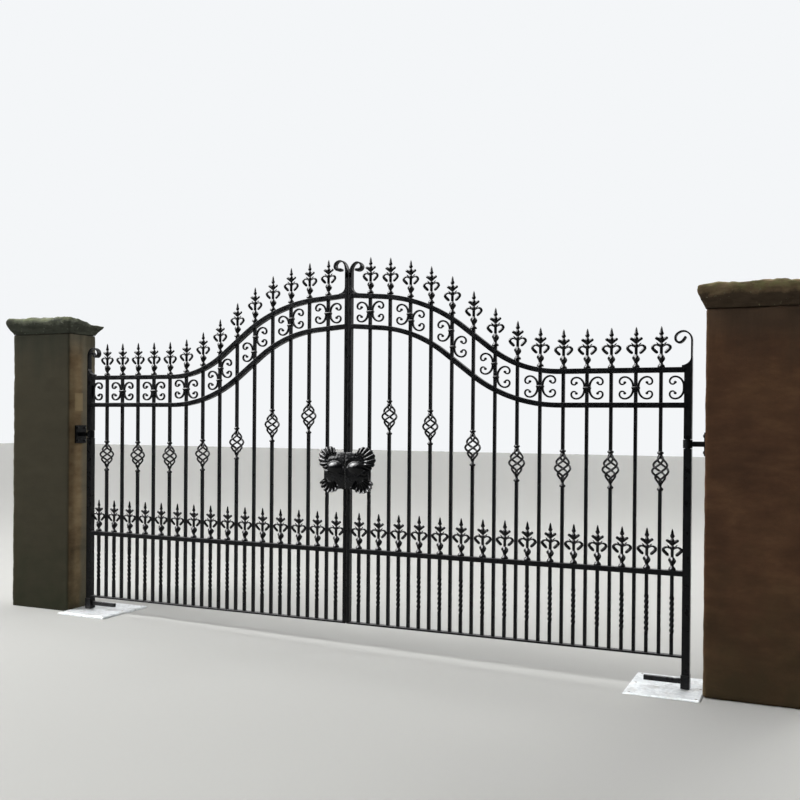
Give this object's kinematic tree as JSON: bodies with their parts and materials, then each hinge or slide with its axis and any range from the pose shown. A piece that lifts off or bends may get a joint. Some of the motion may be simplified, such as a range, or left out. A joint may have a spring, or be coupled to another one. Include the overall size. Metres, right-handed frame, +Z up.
{
  "type": "double-leaf wrought iron driveway gate with stone piers",
  "caption": "Arched wrought iron driveway gate with fleur-de-lis finials, basket bars and scrollwork, its leaves hinged between sandstone piers to swing inwards.",
  "frame": {"origin": "centre of the left pier's foot, at the level of the lowest ground", "axes": "+X along the gate to the right pier, +Y from the street to the house, +Z up"},
  "size_m": [4.66, 0.4, 2.1025],
  "materials": {
    "black_painted_iron": "satin black paint over forged bar",
    "black_painted_casting": "satin black paint over cast iron",
    "dressed_sandstone": "dressed sandstone, weathered, green at the foot",
    "weathered_capstone": "dark weathered sandstone with moss",
    "galvanised_steel": "dull galvanised sheet",
    "bright_steel": "greased turned steel"
  },
  "bodies": {
    "root": {"left_pier": "dressed_sandstone", "right_pier": "dressed_sandstone", "left_pier_cap": "weathered_capstone", "right_pier_cap": "weathered_capstone", "left_hinge_bracket": "black_painted_iron", "right_hinge_bracket": "black_painted_iron", "left_floor_box": "galvanised_steel", "right_floor_box": "galvanised_steel", "left_pivot_pin": "bright_steel", "right_pivot_pin": "bright_steel"},
    "left_leaf": {"left_hinge_stile": "black_painted_iron", "left_hinge_stile_curl": "black_painted_iron", "left_meeting_stile": "black_painted_iron", "left_meeting_stile_curl": "black_painted_iron", "left_upper_top_rail": "black_painted_iron", "left_lower_top_rail": "black_painted_iron", "left_middle_rail": "black_painted_iron", "left_bottom_rail": "black_painted_iron", "left_pickets": "black_painted_iron", "left_dog_bars": "black_painted_iron", "left_baskets": "black_painted_iron", "left_picket_finials": "black_painted_casting", "left_dog_finials": "black_painted_casting", "left_c_scrolls": "black_painted_iron", "left_collars": "black_painted_iron", "left_lock_shell": "black_painted_iron", "left_pivot_shoe": "black_painted_iron"},
    "right_leaf": {"right_hinge_stile": "black_painted_iron", "right_hinge_stile_curl": "black_painted_iron", "right_meeting_stile": "black_painted_iron", "right_meeting_stile_curl": "black_painted_iron", "right_upper_top_rail": "black_painted_iron", "right_lower_top_rail": "black_painted_iron", "right_middle_rail": "black_painted_iron", "right_bottom_rail": "black_painted_iron", "right_pickets": "black_painted_iron", "right_dog_bars": "black_painted_iron", "right_baskets": "black_painted_iron", "right_picket_finials": "black_painted_casting", "right_dog_finials": "black_painted_casting", "right_c_scrolls": "black_painted_iron", "right_collars": "black_painted_iron", "right_lock_shell": "black_painted_iron", "right_pivot_shoe": "black_painted_iron"}
  },
  "joints": [
    {"name": "left_leaf_swing", "type": "hinge", "parent": "root", "child": "left_leaf", "pos_m": [0.31, -0.019, 0.1], "axis": [0, 0, 1], "range_deg": [0, 90]},
    {"name": "right_leaf_swing", "type": "hinge", "parent": "root", "child": "right_leaf", "pos_m": [3.824, -0.019, 0.1], "axis": [0, 0, -1], "range_deg": [0, 90]}
  ]
}
